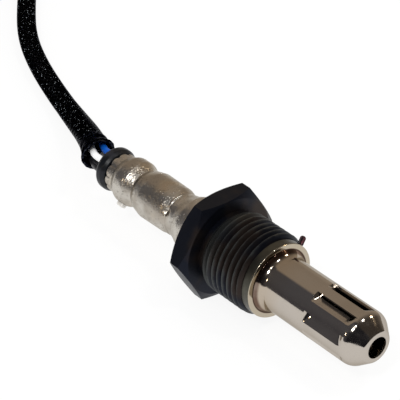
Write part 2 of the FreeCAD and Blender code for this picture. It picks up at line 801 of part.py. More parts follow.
export("hex_bushing", hex_bushing())
export("sensor_housing", sensor_housing())
export("outer_shield", outer_shield())
export("inner_shield", inner_shield())
export("sensing_strip", sensing_strip())
export("front_insulator", front_insulator())
export("talc_packing", talc_packing())
export("rear_insulator", rear_insulator())
export("packing_ring", packing_ring())
export("rear_shell", rear_shell())
export("contact_carrier", contact_carrier())
export("clip_ring", clip_ring())
for number, (y, z) in enumerate(wire_places, 1):
    export("contact_%d" % number, contact(y, z))
export("wire_grommet", wire_grommet())
for name, (y, z) in zip(("wire_white", "wire_blue", "wire_grey", "wire_black"), wire_places):
    export(name, wire(y, z, name))
export("rear_lug", rear_lug())
export("sleeve_mouth", sleeve_mouth())
export("cable_sleeve", tube_along(sleeve_route, sleeve_d, "cable_sleeve"))
export("cable_coil", cable_coil())
export("cable_tail", tube_along(tail_route, sleeve_d, "cable_tail"))
export("plug_boot", laid_at_end(plug_boot()))
export("plug_housing", laid_at_end(plug_housing()))
export("plug_core", laid_at_end(plug_core()))
export("plug_lock", laid_at_end(plug_lock()))
export("plug_seal", laid_at_end(plug_seal()))
export("plug_terminals", laid_at_end(plug_terminals()))
export("plug_wires", laid_at_end(plug_wires()))
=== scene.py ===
import bpy
import math
from mathutils import Matrix, Vector, noise


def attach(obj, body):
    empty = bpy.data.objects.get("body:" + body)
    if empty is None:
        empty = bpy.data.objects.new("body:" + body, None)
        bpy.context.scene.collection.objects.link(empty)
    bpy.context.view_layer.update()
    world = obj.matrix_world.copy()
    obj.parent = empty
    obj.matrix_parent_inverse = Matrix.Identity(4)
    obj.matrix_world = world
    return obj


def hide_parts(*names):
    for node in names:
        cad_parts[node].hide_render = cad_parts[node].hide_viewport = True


# Particulate matter sensor with its sleeved lead, in the frame of its solids: X is the
# sensor's axis, +X points to the louvred tip, Z is up. Sizes are in metres.
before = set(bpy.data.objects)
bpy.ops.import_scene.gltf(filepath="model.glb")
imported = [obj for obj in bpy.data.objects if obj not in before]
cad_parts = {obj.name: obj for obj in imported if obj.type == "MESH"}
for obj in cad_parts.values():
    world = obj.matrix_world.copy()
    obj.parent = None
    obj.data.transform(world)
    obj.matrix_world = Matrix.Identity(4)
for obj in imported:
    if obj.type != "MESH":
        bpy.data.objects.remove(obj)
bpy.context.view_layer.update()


# Threaded bushing: turned and milled from hexagon bar, with an M18 thread cut up to a
# relief groove, then dipped in hot black oxide, which dries satin with brown and blue tints.
class Signal:
    """A number that varies over a surface; arithmetic on it adds Math nodes."""

    def __init__(self, nodes, socket):
        self.nodes, self.socket = nodes, socket

    def math(self, operation, *values):
        return self.nodes.add("ShaderNodeMath", {"operation": operation}, dict(enumerate(values)))

    def __add__(self, other):
        return self.math("ADD", self, other)

    def __sub__(self, other):
        return self.math("SUBTRACT", self, other)

    def __rsub__(self, other):
        return self.math("SUBTRACT", other, self)

    def __mul__(self, other):
        return self.math("MULTIPLY", self, other)

    def __pow__(self, other):
        return self.math("POWER", self, other)

    def __abs__(self):
        return self.math("ABSOLUTE", self)

    __radd__, __rmul__ = __add__, __mul__


class Nodes:
    """The nodes of one material or world."""

    def __init__(self, owner):
        owner.use_nodes = True
        self.tree = owner.node_tree

    def feed(self, node, sockets):
        for key, value in sockets.items():
            if isinstance(value, Signal):
                self.tree.links.new(value.socket, node.inputs[key])
            else:
                node.inputs[key].default_value = value

    def add(self, kind, settings, sockets, output=0):
        """Any node: its settings first, then the values or links of its sockets."""
        node = self.tree.nodes.new(kind)
        for key, value in settings.items():
            setattr(node, key, value)
        self.feed(node, sockets)
        return Signal(self, node.outputs[output])

    def apart(self, vector):
        """The three parts of a vector."""
        node = self.add("ShaderNodeSeparateXYZ", {}, {0: vector}).socket.node
        return [Signal(self, socket) for socket in node.outputs]

    def rays(self, *kinds):
        """1 for a ray of one of these kinds, such as Is Camera Ray."""
        node = self.add("ShaderNodeLightPath", {}, {}).socket.node
        share = Signal(self, node.outputs[kinds[0]])
        for kind in kinds[1:]:
            share = share.math("MAXIMUM", share, Signal(self, node.outputs[kind]))
        return share

    def fade(self, value, low, high, start=0.0, end=1.0):
        """A smooth step from start, where the value is low, to end, where it is high."""
        return self.add("ShaderNodeMapRange", {"interpolation_type": "SMOOTHSTEP"},
                        {0: value, 1: low, 2: high, 3: start, 4: end})

    def blend(self, share, first, second):
        """One colour over another by a share from 0 to 1."""
        first, second = (c if isinstance(c, Signal) else (*c, 1) for c in (first, second))
        return self.add("ShaderNodeMix", {"data_type": "RGBA"}, {0: share, 6: first, 7: second}, 2)


class Finish(Nodes):
    """A material on its Principled shader, with the constants that its sockets start from."""

    def __init__(self, name, **constants):
        self.material = bpy.data.materials.new(name)
        super().__init__(self.material)
        self.shader = self.tree.nodes["Principled BSDF"]
        self.wear({key.replace("_", " "): value for key, value in constants.items()})

    def wear(self, sockets):
        self.feed(self.shader, sockets)

    def place(self):
        """Object coordinates, which are metres in the sensor's frame."""
        return self.add("ShaderNodeTexCoord", {}, {}, 3)

    def along_and_off(self):
        """The place along the sensor's axis and the distance off it."""
        along, across, upward = self.apart(self.place())
        return along, (across ** 2 + upward ** 2) ** 0.5

    def speckle(self, scale, detail, stretch=(1, 1, 1)):
        """Noise over the piece, this many grains to the metre; a stretch draws them out."""
        drawn = self.add("ShaderNodeVectorMath", {"operation": "MULTIPLY"}, {0: self.place(), 1: stretch})
        return self.add("ShaderNodeTexNoise", {}, {"Vector": drawn, "Scale": scale, "Detail": detail})

    def mottle(self, share, first, second, rough, rougher):
        """Two colours by a share of noise, and a roughness that grows with it."""
        self.wear({"Base Color": self.blend(share, first, second), "Roughness": rough + rougher * share})

    def relief(self, height, depth, strength):
        """A bumped surface, whose height goes from 0 to this many metres."""
        bump = self.add("ShaderNodeBump", {}, {"Height": height, "Distance": depth, "Strength": strength})
        self.wear({"Normal": bump})


def deselected():
    bpy.ops.object.select_all(action="DESELECT")


def chosen(*pieces):
    """Only these pieces selected, and the last of them active."""
    deselected()
    for piece in pieces:
        piece.select_set(True)
        bpy.context.view_layer.objects.active = piece


def made_smooth(piece, degrees=32):
    chosen(piece)
    bpy.ops.object.shade_smooth_by_angle(angle=math.radians(degrees))


def eased(outline, runs=6):
    """An outline's (x, radius) points, where a third number rounds that corner to an arc."""
    points = []
    for i, corner in enumerate(outline):
        here = Vector(corner[:2])
        if len(corner) == 2:
            points.append(here)
            continue
        back = (Vector(outline[i - 1][:2]) - here).normalized()
        on = (Vector(outline[(i + 1) % len(outline)][:2]) - here).normalized()
        half = back.angle(on) / 2
        centre = here + (back + on).normalized() * corner[2] / math.sin(half)
        first, last = (here + way * corner[2] / math.tan(half) for way in (back, on))
        points += [centre + (first.lerp(last, k / runs) - centre).normalized() * corner[2]
                   for k in range(runs + 1)]
    return points


def drawn_line(name, points):
    """A row of edges through (x, height) points in the plane of X and Z, extruded one by one."""
    deselected()
    bpy.ops.mesh.primitive_plane_add(size=0.001)
    piece = bpy.context.object
    piece.name = name
    bpy.ops.object.mode_set(mode="EDIT")
    bpy.ops.mesh.merge(type="CENTER")
    last = Vector((0, 0))
    for i, point in enumerate(points):
        step = Vector((point[0] - last[0], 0, point[1] - last[1]))
        if i:
            bpy.ops.mesh.extrude_region_move(TRANSFORM_OT_translate={"value": step})
        else:
            bpy.ops.transform.translate(value=step)
        last = point
    return piece


def turned(name, outline, steps=160):
    """A lathe piece: an outline of (x, radius) points, closed or ending on the axis, spun once."""
    points = eased(outline)
    on_axis = points[0][1] == points[-1][1] == 0
    piece = drawn_line(name, points if on_axis else points + points[:1])
    bpy.ops.mesh.select_all(action="SELECT")
    bpy.ops.mesh.spin(steps=steps, angle=math.tau, center=(0, 0, 0), axis=(1, 0, 0))
    bpy.ops.mesh.select_all(action="SELECT")
    bpy.ops.mesh.remove_doubles(threshold=1e-6)
    bpy.ops.mesh.normals_make_consistent(inside=False)
    bpy.ops.object.mode_set(mode="OBJECT")
    return piece


def combined(piece, other, operation):
    """Cuts or trims the piece by another one, which is used up."""
    cut = piece.modifiers.new("cut", "BOOLEAN")
    cut.object, cut.operation, cut.solver = other, operation, "EXACT"
    bpy.context.view_layer.objects.active = piece
    bpy.ops.object.modifier_apply(modifier="cut")
    bpy.data.objects.remove(other)


def fitted(piece, finish, slot, *nodes):
    """Puts a finished piece in place of its solids."""
    piece.data.materials.clear()
    piece.data.materials.append(finish.material)
    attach(piece, "root")
    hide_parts(*nodes)


across_flats, hexagon_height = 0.022, 0.0045
pitch, thread_from, thread_to = 0.0015, 0.0012, 0.0131
crest, root = 0.0090, 0.00808

deselected()
bpy.ops.mesh.primitive_cylinder_add(vertices=6, radius=across_flats / math.sqrt(3), depth=hexagon_height,
                                    location=(-hexagon_height / 2, 0, 0), rotation=(0, math.pi / 2, 0))
bushing = bpy.context.object
bushing.name = "bushing"
bpy.ops.object.transform_apply(location=True, rotation=True, scale=True)
blank = turned("bushing_blank", [
    (-hexagon_height, 0.00665), (-hexagon_height, 0.0108), (-0.0032, 0.01305), (-0.0013, 0.01305),
    (0, 0.0108), (0, 0.00665)], 158)
combined(bushing, blank, "INTERSECT")

thread = drawn_line("thread", [
    (-0.0006, root), (-0.00048, root), (0.00004, crest - 0.00004), (0.00009, crest), (0.00021, crest),
    (0.00026, crest - 0.00004), (0.00078, root), (0.0009, root)])
bpy.ops.object.mode_set(mode="OBJECT")
helix = thread.modifiers.new("helix", "SCREW")
helix.axis, helix.screw_offset, helix.iterations = "X", pitch, 10
helix.steps = helix.render_steps = 120
bpy.ops.object.modifier_apply(modifier="helix")
bpy.ops.object.mode_set(mode="EDIT")
bpy.ops.mesh.select_all(action="SELECT")
bpy.ops.mesh.remove_doubles(threshold=2e-6)
for x, keep_front in ((thread_from, True), (thread_to, False)):
    bpy.ops.mesh.select_all(action="SELECT")
    bpy.ops.mesh.bisect(plane_co=(x, 0, 0), plane_no=(1, 0, 0), use_fill=True, threshold=1e-7,
                        clear_inner=keep_front, clear_outer=not keep_front)
bpy.ops.mesh.select_all(action="SELECT")
bpy.ops.mesh.normals_make_consistent(inside=False)
bpy.ops.object.mode_set(mode="OBJECT")
run_out = turned("run_out", [
    (0.0010, 0.0070), (0.0010, 0.0079), (0.0024, 0.00902), (0.0124, 0.00902), (0.01315, 0.00825),
    (0.01315, 0.0070)])
combined(thread, run_out, "INTERSECT")
relief = turned("relief_groove", [(-0.0022, 0.0067), (-0.0022, 0.0081), (0.0014, 0.0081), (0.0014, 0.0067)])
chosen(thread, relief, bushing)
bpy.ops.object.join()
made_smooth(bushing, 28)

black_oxide = Finish("black_oxide_steel", Metallic=0.9, IOR=1.6)
along, off = black_oxide.along_and_off()
grime = black_oxide.speckle(260, 4)
tint = black_oxide.fade(black_oxide.speckle(110, 2), 0.42, 0.60)
dark = black_oxide.blend(tint, (0.008, 0.010, 0.018), (0.031, 0.023, 0.020))
past_hexagon = black_oxide.fade(along, 0.0008, 0.0016)
# Paler grey on the thread's crests and on the first turns past the hexagon.
pale_crests = black_oxide.fade(off + (grime - 0.5) * 0.0014, 0.0086, 0.0092) * past_hexagon
pale_groove = black_oxide.fade(along, 0.0048, 0.0022) * past_hexagon
paler = pale_crests.math("MAXIMUM", pale_crests * 0.8, pale_groove * 0.7)
black_oxide.wear({"Base Color": black_oxide.blend(paler, dark, (0.066, 0.071, 0.070)),
                  "Roughness": 0.30 + 0.26 * grime})
black_oxide.relief(black_oxide.speckle(2600, 3), 0.00003, 0.5)
fitted(bushing, black_oxide, "black_oxide_steel", "hex_bushing")


# Housing: turned stainless steel pressed through the bushing. Its flange holds the shield's
# flared foot in a recess, and the weld's heat has left straw and brown rings on its face.
housing = turned("housing", [
    (-0.0104, 0.0046), (-0.0104, 0.0055), (-0.0045, 0.0055), (-0.0045, 0.0066), (0.01315, 0.0066),
    (0.01318, 0.00825, 0.00015), (0.01525, 0.00825, 0.00015), (0.01525, 0.00705), (0.0141, 0.00705),
    (0.0141, 0.0039), (0.0030, 0.0039), (0.0030, 0.0046)])
made_smooth(housing)

heated = Finish("heated_steel", Metallic=1.0)
along, off = heated.along_and_off()
patches = heated.speckle(420, 3)
face = heated.fade(along + (patches - 0.5) * 0.0001, 0.01508, 0.01522)
side = heated.blend(patches, (0.045, 0.044, 0.038), (0.13, 0.125, 0.10))
straw = heated.blend(heated.fade(off, 0.00715, 0.00728), (0.10, 0.06, 0.042), (0.46, 0.40, 0.31))
heated.wear({"Base Color": heated.blend(heated.fade(face, 0.0, 0.4), side, straw),
             "Roughness": heated.fade(face, 0.0, 1.0, 0.34, 0.06) + 0.10 * patches})
heated.relief(patches, 0.00001, 0.3)
fitted(housing, heated, "polished_steel", "sensor_housing")


# Radial pin: a short stub of dark round wire with rounded ends, driven into the flange's
# side beside the thread.
pin_radius, pin_length, pin_rounding = 0.00050, 0.0022, 0.00042
pin_angle, pin_lean = math.radians(43), math.radians(-12)
pin_x, pin_off_axis = 0.0143, 0.0090
deselected()
bpy.ops.mesh.primitive_cylinder_add(vertices=24, radius=pin_radius, depth=pin_length)
pin = bpy.context.object
pin.name = "flange_pin"
bpy.ops.object.mode_set(mode="EDIT")
bpy.ops.mesh.bevel(offset=pin_rounding, segments=5)
bpy.ops.object.mode_set(mode="OBJECT")
pin_middle = Vector((pin_x, pin_off_axis * math.cos(pin_angle), pin_off_axis * math.sin(pin_angle)))
pin.data.transform(Matrix.Translation(pin_middle) @ Matrix.Rotation(pin_angle - math.pi / 2, 4, "X")
                   @ Matrix.Rotation(pin_lean, 4, "Y"))
made_smooth(pin)
pin_red = Finish("pin_red", Roughness=0.35, Metallic=0.4)
rusty = pin_red.fade(pin_red.speckle(900, 2), 0.4, 0.6)
pin_red.wear({"Base Color": pin_red.blend(rusty, (0.012, 0.008, 0.012), (0.09, 0.018, 0.024))})
pin.data.materials.append(pin_red.material)
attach(pin, "root")


# Outer shield: one cup drawn from thin stainless sheet and polished, with a flared foot, a
# coned nose and eight louvres, each slit along one side and pressed in so that it closes at
# its other three.
tube_radius, sheet_thickness = 0.00595, 0.0005
louvres, sector_steps = 8, 26
louvre_from, louvre_to, louvre_depth = 0.0282, 0.0392, 0.0010
louvre_bend, louvre_rear_run, louvre_front_run = 0.0050, 0.0016, 0.0022
first_slit, slit_pitch = math.radians(17), math.tau / louvres

foot = [(0.01440, 0.00700), (0.01528, 0.00700, 0.00008), (0.01610, 0.00632, 0.0020),
        (0.0168, tube_radius, 0.0022)]
tube = [(x, tube_radius) for x in (0.0178, 0.0206, 0.0240, 0.0274)]
louvred = [(0.0278 + 0.00022 * k, tube_radius) for k in range(48)]
nose = [(0.03951, tube_radius, 0.0030), (0.04285, 0.00334, 0.0009), (0.04285, 0.00235)]
shield = drawn_line("shield", eased(foot + tube + louvred + nose, 10))
bpy.ops.mesh.select_all(action="SELECT")
bpy.ops.mesh.spin(steps=sector_steps, angle=-slit_pitch, center=(0, 0, 0), axis=(1, 0, 0))
bpy.ops.object.mode_set(mode="OBJECT")


def pressed_in(turn, x):
    """How far the die has pressed the sheet at this angle past the slit and this place along it."""
    centre = tube_radius - louvre_depth + louvre_bend
    under = louvre_bend ** 2 - (centre * math.sin(turn)) ** 2
    if under <= 0:
        return 0.0
    depth = tube_radius - (centre * math.cos(turn) - math.sqrt(under))
    rear = min(1.0, (x - louvre_from) / louvre_rear_run)
    front = min(1.0, (louvre_to - x) / louvre_front_run)
    if depth <= 0 or rear <= 0 or front <= 0:
        return 0.0
    return depth * min(math.sqrt(1 - (1 - rear) ** 2), front ** 2 * (3 - 2 * front))


for vertex in shield.data.vertices:
    turn = math.atan2(vertex.co.z, vertex.co.y) - math.pi / 2
    radius = math.hypot(vertex.co.y, vertex.co.z)
    vertex.co.yz = vertex.co.yz * (1 - pressed_in(turn % math.tau, vertex.co.x) / radius)
sectors = []
for k in range(louvres):
    sector = shield.copy()
    sector.data = shield.data.copy()
    sector.data.transform(Matrix.Rotation(first_slit + k * slit_pitch, 4, "X"))
    bpy.context.scene.collection.objects.link(sector)
    sectors.append(sector)
bpy.data.objects.remove(shield)
chosen(*reversed(sectors))
bpy.ops.object.join()
shield = sectors[0]
shield.name = "shield"
bpy.ops.object.mode_set(mode="EDIT")
bpy.ops.mesh.select_all(action="SELECT")
bpy.ops.mesh.remove_doubles(threshold=2e-6)
bpy.ops.mesh.normals_make_consistent(inside=False)
bpy.ops.object.mode_set(mode="OBJECT")
wall = shield.modifiers.new("wall", "SOLIDIFY")
wall.thickness, wall.offset = sheet_thickness, -1
bpy.ops.object.modifier_apply(modifier="wall")
made_smooth(shield, 40)

polished = Finish("polished_steel", Metallic=1.0, Specular_Tint=(0.62, 0.59, 0.55, 1))
along = polished.apart(polished.place())[0]
smudge = polished.speckle(180, 4)
scuffs = polished.speckle(900, 5, (0.25, 1, 1))
cooler = polished.fade(along + (smudge - 0.5) * 0.003, 0.0150, 0.0230)
burnt = polished.fade(along + (smudge - 0.5) * 0.0004, 0.0162, 0.0157)
tinted = polished.blend(cooler, (0.46, 0.39, 0.31), (0.49, 0.445, 0.395))
ringed = polished.blend(burnt, tinted, (0.15, 0.095, 0.07))
smudged = polished.fade(smudge, 0.45, 0.75, 0.0, 0.5)
polished.wear({"Base Color": polished.blend(smudged, ringed, (0.42, 0.375, 0.325)),
               "Roughness": 0.07 + 0.08 * polished.fade(scuffs, 0.4, 0.8) + 0.04 * smudge})
polished.relief(scuffs, 0.00001, 0.3)
fitted(shield, polished, "polished_steel", "outer_shield")


# Inside parts: a second steel cup, the ceramic strip in its packing, and the contacts that
# are sprung on its tail. They keep the shapes of their solids.
def finished(finish, *nodes):
    for name in nodes:
        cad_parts[name].material_slots[0].material = finish.material


inner_steel = Finish("inner_steel", Metallic=1.0)
soot = inner_steel.speckle(600, 4)
sooted = inner_steel.fade(soot, 0.35, 0.65)
inner_steel.wear({"Base Color": inner_steel.blend(sooted, (0.004, 0.004, 0.005), (0.018, 0.014, 0.011)),
                  "Roughness": 0.35 + 0.3 * soot})
finished(inner_steel, "inner_shield", "packing_ring")

ceramic = Finish("ceramic", IOR=1.6)
grains = ceramic.speckle(2200, 4)
ceramic.mottle(grains, (0.72, 0.69, 0.62), (0.82, 0.80, 0.74), 0.5, 0.2)
ceramic.relief(grains, 0.00003, 0.4)
finished(ceramic, "sensing_strip", "front_insulator", "rear_insulator", "contact_carrier")

talc = Finish("talc", Roughness=0.9)
powder = talc.speckle(4200, 5)
talc.wear({"Base Color": talc.blend(powder, (0.48, 0.47, 0.43), (0.66, 0.65, 0.60))})
talc.relief(powder, 0.00006, 0.6)
finished(talc, "talc_packing")

spring_metal = Finish("terminal_metal", Metallic=1.0)
spring_metal.mottle(spring_metal.speckle(1200, 3), (0.62, 0.60, 0.56), (0.74, 0.72, 0.68), 0.24, 0.2)
finished(spring_metal, "clip_ring", "contact_1", "contact_2", "contact_3", "contact_4", "plug_terminals")


# Rear shell: drawn stainless tube with a satin nickel look, swaged over the housing, rolled
# in at the neck and at the waist, and crimped on the grommet at its rim. A punch has left
# dimples and short ribs round the neck, and a small lug is welded under the crown.
shell = turned("shell", [
    (-0.0045, 0.0061), (-0.0045, 0.00555), (-0.0107, 0.00555), (-0.0129, 0.00468), (-0.0147, 0.00428),
    (-0.0174, 0.00480), (-0.0243, 0.00480), (-0.0268, 0.00362), (-0.0293, 0.00478), (-0.0315, 0.00478),
    (-0.0326, 0.00402), (-0.0352, 0.00398), (-0.0352, 0.00436, 0.00012), (-0.0331, 0.00444, 0.0002),
    (-0.0315, 0.00524, 0.0014), (-0.0290, 0.00524, 0.0016), (-0.0268, 0.00415, 0.0001),
    (-0.0256, 0.00480, 0.0006), (-0.0235, 0.00530, 0.0012), (-0.0166, 0.00518, 0.0014),
    (-0.0149, 0.00470, 0.0006), (-0.0126, 0.00512, 0.0012), (-0.0104, 0.00610, 0.0018)], 210)
neck_rows = [-0.0128 - 0.0002 * k for k in range(20)]
rim_rows = [-0.0334, -0.0338, -0.0342, -0.0345, -0.0348, -0.0350]
bpy.ops.object.mode_set(mode="EDIT")
for x in neck_rows + rim_rows:
    bpy.ops.mesh.select_all(action="SELECT")
    bpy.ops.mesh.bisect(plane_co=(x, 0, 0), plane_no=(1, 0, 0), threshold=1e-7)
bpy.ops.object.mode_set(mode="OBJECT")

rim_x, rim_run, rim_inside = -0.0330, 0.0014, 0.00390
scallops, scallop_along, scallop_in = 11, 0.00030, 0.00016
neck_x, neck_reach, neck_inside = -0.0149, 0.0025, 0.00463
dimple_at, dimple_radius, dimple_depth = 148, 0.00105, 0.00038
rib_at, rib_half_turn, rib_end_run = 108, 0.32, 0.0004
rib_half_width, rib_height = 0.00032, 0.00026


def turned_from(angle, degrees):
    """The angle from a bearing in degrees, up to half a turn either way."""
    return (angle - math.radians(degrees) + math.pi) % math.tau - math.pi


for vertex in shell.data.vertices:
    radius, angle = math.hypot(vertex.co.y, vertex.co.z), math.atan2(vertex.co.z, vertex.co.y)
    if vertex.co.x < rim_x and radius > rim_inside:
        rim_share = min(1.0, (rim_x - vertex.co.x) / rim_run)
        between = 1 - abs(math.sin(scallops / 2 * angle))
        vertex.co.x += scallop_along * rim_share ** 2 * between
        vertex.co.yz = vertex.co.yz * (1 - scallop_in * rim_share * between ** 2 / radius)
    off_neck = vertex.co.x - neck_x
    if abs(off_neck) > neck_reach or radius < neck_inside:
        continue
    change = 0.0
    for third in (0, 120, 240):
        off_dimple = math.hypot(turned_from(angle, dimple_at + third) * radius, off_neck) / dimple_radius
        change -= dimple_depth * max(0.0, 1 - off_dimple ** 2) ** 1.5
        past_end = (abs(turned_from(angle, rib_at + third)) - rib_half_turn) * radius / rib_end_run
        across_rib = max(0.0, 1 - (off_neck / rib_half_width) ** 2)
        change += rib_height * across_rib * min(1.0, max(0.0, 1 - past_end))
    vertex.co.yz = vertex.co.yz * (1 + change / radius)
made_smooth(shell, 50)

satin = Finish("satin_nickel", Metallic=1.0, Specular_Tint=(0.7, 0.68, 0.65, 1))
brushed = satin.speckle(1500, 4, (1, 0.35, 0.35))
cloudy = satin.speckle(240, 4)
pits = satin.fade(satin.speckle(1900, 2), 0.60, 0.72)
yellowed = satin.fade(satin.speckle(130, 3), 0.50, 0.68)
plated = satin.blend(yellowed, (0.56, 0.53, 0.48), (0.50, 0.43, 0.34))
stained = satin.blend(satin.fade(cloudy, 0.4, 0.7), plated, (0.40, 0.36, 0.31))
satin.wear({"Base Color": satin.blend(pits * 0.35, stained, (0.18, 0.16, 0.13)),
            "Roughness": 0.18 + 0.14 * cloudy + 0.08 * brushed})
dents = 0.6 * satin.speckle(700, 3) + 0.7 * satin.speckle(3200, 2) - 0.5 * pits
satin.relief(0.8 * brushed + dents, 0.00010, 0.9)
fitted(shell, satin, "satin_nickel", "rear_shell")

lug_size, lug_rounding = (0.0020, 0.0012, 0.0016), 0.00050
lug_angle, lug_x, lug_off_axis = math.radians(226), -0.03025, 0.00545
deselected()
bpy.ops.mesh.primitive_cube_add(size=1)
lug = bpy.context.object
lug.name = "lug"
lug.data.transform(Matrix.Diagonal((*lug_size, 1)))
bpy.ops.object.mode_set(mode="EDIT")
bpy.ops.mesh.bevel(offset=lug_rounding, segments=5)
bpy.ops.object.mode_set(mode="OBJECT")
lug.data.transform(Matrix.Rotation(lug_angle, 4, "X") @ Matrix.Translation((lug_x, lug_off_axis, 0)))
made_smooth(lug, 60)
frosted = Finish("frosted_nickel", Metallic=0.35)
frosted.mottle(frosted.speckle(1800, 3), (0.62, 0.60, 0.56), (0.80, 0.78, 0.75), 0.42, 0.2)
fitted(lug, frosted, "satin_nickel", "rear_lug")


# Grommet: black rubber, squeezed by the shell's rim and bulging out behind it, with one
# tight bore for each of the four wires.
wire_radius, bore_radius, wire_side = 0.00075, 0.00078, 0.002 * math.sqrt(0.5)
wire_places = {"white": (-wire_side, wire_side), "blue": (wire_side, wire_side),
               "grey": (wire_side, -wire_side), "black": (-wire_side, -wire_side)}
grommet = turned("grommet", [
    (-0.0282, 0), (-0.0282, 0.00395, 0.0003), (-0.0295, 0.00470, 0.0008), (-0.0311, 0.00470, 0.0008),
    (-0.0325, 0.00378), (-0.0353, 0.00376), (-0.0354, 0.00440, 0.0003), (-0.0362, 0.00488, 0.0006),
    (-0.0375, 0.00488, 0.0008), (-0.0384, 0.00420, 0.0006), (-0.0386, 0.00300, 0.0002), (-0.0386, 0)])
for y, z in wire_places.values():
    deselected()
    bpy.ops.mesh.primitive_cylinder_add(vertices=40, radius=bore_radius, depth=0.02,
                                        location=(-0.034, y, z), rotation=(0, math.pi / 2, 0))
    combined(grommet, bpy.context.object, "DIFFERENCE")
made_smooth(grommet, 35)

rubber = Finish("black_rubber", IOR=1.3)
bloom = rubber.speckle(500, 4)
bloomed = rubber.fade(bloom, 0.45, 0.7)
rubber.wear({"Base Color": rubber.blend(bloomed, (0.004, 0.005, 0.007), (0.014, 0.015, 0.020)),
             "Roughness": 0.26 + 0.24 * bloom})
rubber.relief(rubber.speckle(1600, 3), 0.00004, 0.4)
fitted(grommet, rubber, "black_rubber", "wire_grommet")


# Four wires: stranded copper in smooth glossy insulation, from the crimps through the
# grommet and bending together into the sleeve.
mouth_way = Vector((-12.0, 6.5, -3.4)).normalized()
wires_bend_x = -0.0423
sleeve_start = Vector((wires_bend_x, 0, 0)) + mouth_way * 0.0052
wire_colours = {"white": ((0.74, 0.76, 0.78), (0.84, 0.85, 0.86)),
                "blue": ((0.001, 0.065, 0.36), (0.002, 0.10, 0.50)),
                "grey": ((0.16, 0.16, 0.17), (0.22, 0.22, 0.23)),
                "black": ((0.010, 0.010, 0.012), (0.020, 0.020, 0.023))}


def line_through(name, points):
    """A NURBS curve with these control points."""
    curve = bpy.data.curves.new(name, "CURVE")
    curve.dimensions, curve.resolution_u = "3D", 12
    spline = curve.splines.new("NURBS")
    spline.points.add(len(points) - 1)
    for control, point in zip(spline.points, points):
        control.co = (*point, 1)
    spline.order_u, spline.use_endpoint_u = 3, True
    line = bpy.data.objects.new(name, curve)
    bpy.context.scene.collection.objects.link(line)
    return line


for colour, (y, z) in wire_places.items():
    name = "wire_" + colour
    bend = Vector((wires_bend_x, y, z))
    run = mouth_way.dot(sleeve_start - bend)
    points = [Vector((x, y, z)) for x in (-0.0283, -0.0350, -0.0400)]
    points += [bend, bend + mouth_way * run * 0.5, bend + mouth_way * (run - 0.0001)]
    wire = line_through(name + "_insulation", points)
    wire.data.bevel_depth, wire.data.bevel_resolution, wire.data.use_fill_caps = wire_radius, 7, True
    chosen(wire)
    bpy.ops.object.convert(target="MESH")
    made_smooth(wire, 40)
    insulation = Finish(name + "_insulation", IOR=1.5)
    insulation.mottle(insulation.speckle(800, 3), *wire_colours[colour], 0.28, 0.15)
    insulation.relief(insulation.speckle(500, 2), 0.00004, 0.3)
    fitted(wire, insulation, colour + "_wire", name)


# Sleeve's mouth: the braided sleeve was cut with a hot knife, so its end has melted into a
# hard, ragged black lip that flares round the wires and slants across them.
mouth = turned("mouth", [
    (0.0050, 0.0026), (0.0050, 0.0030, 0.0002), (0.0030, 0.0032, 0.0010), (0.0006, 0.00335, 0.0010),
    (-0.0014, 0.00395, 0.0008), (-0.0024, 0.00385, 0.00022), (-0.0024, 0.00325, 0.00022),
    (-0.0008, 0.00300, 0.0008), (0.0004, 0.00285), (0.0004, 0.0026)], 96)
bpy.ops.object.mode_set(mode="EDIT")
bpy.ops.mesh.select_all(action="SELECT")
bpy.ops.mesh.subdivide(number_cuts=1)
bpy.ops.object.mode_set(mode="OBJECT")
mouth_inside, lip_x, lump_along = 0.0029, -0.001, 0.6
coarse_grain, coarse_lump, fine_grain, fine_lump = 520, 0.00022, 1400, 0.00009
for vertex in mouth.data.vertices:
    radius = math.hypot(vertex.co.y, vertex.co.z)
    if radius > mouth_inside or vertex.co.x < lip_x:
        lump = noise.noise(vertex.co * coarse_grain) * coarse_lump
        lump += noise.noise(vertex.co * fine_grain) * fine_lump
        vertex.co.yz = vertex.co.yz * (1 + lump / radius)
        vertex.co.x += lump_along * lump
mouth_turn = Vector((1, 0, 0)).rotation_difference(mouth_way).to_matrix().to_4x4()
mouth.data.transform(Matrix.Translation(sleeve_start) @ mouth_turn)
slant, slant_from, slant_run = Vector((-0.418, -0.333, 0.845)), 0.0022, 0.0046
slant_above, slant_below = 0.80, 0.35
for vertex in mouth.data.vertices:
    before = max(0.0, slant_from - mouth_way.dot(vertex.co - sleeve_start)) / slant_run
    above = slant.dot(vertex.co - sleeve_start)
    vertex.co -= mouth_way * before * above * (slant_above if above > 0 else slant_below)
made_smooth(mouth, 60)
melted = Finish("melted_sleeve", Metallic=1.0, Specular_Tint=(0.10, 0.10, 0.12, 1))
crust = melted.speckle(1500, 4)
crusted = melted.fade(crust, 0.45, 0.7)
melted.wear({"Base Color": melted.blend(crusted, (0.006, 0.007, 0.011), (0.05, 0.055, 0.07)),
             "Roughness": 0.18 + 0.26 * crust})
melted.relief(crust, 0.00012, 0.7)
fitted(mouth, melted, "braided_sleeve", "sleeve_mouth")


# Sleeved lead: a braid of black polyester filaments pulled over the four wires. It drops
# to the table, and its spare length is wound in one neat coil with the plug beside it.
cord_radius, layer_rise, cord_low = 0.0026, 0.0052, -0.0084
coil_middle, coil_radius = Vector((-0.16486, 0.03854)), 0.0265
coil_start, coil_turn, coil_steps = 51.6, 758.4, 38
layer_starts, layer_run = (300, 660), 40

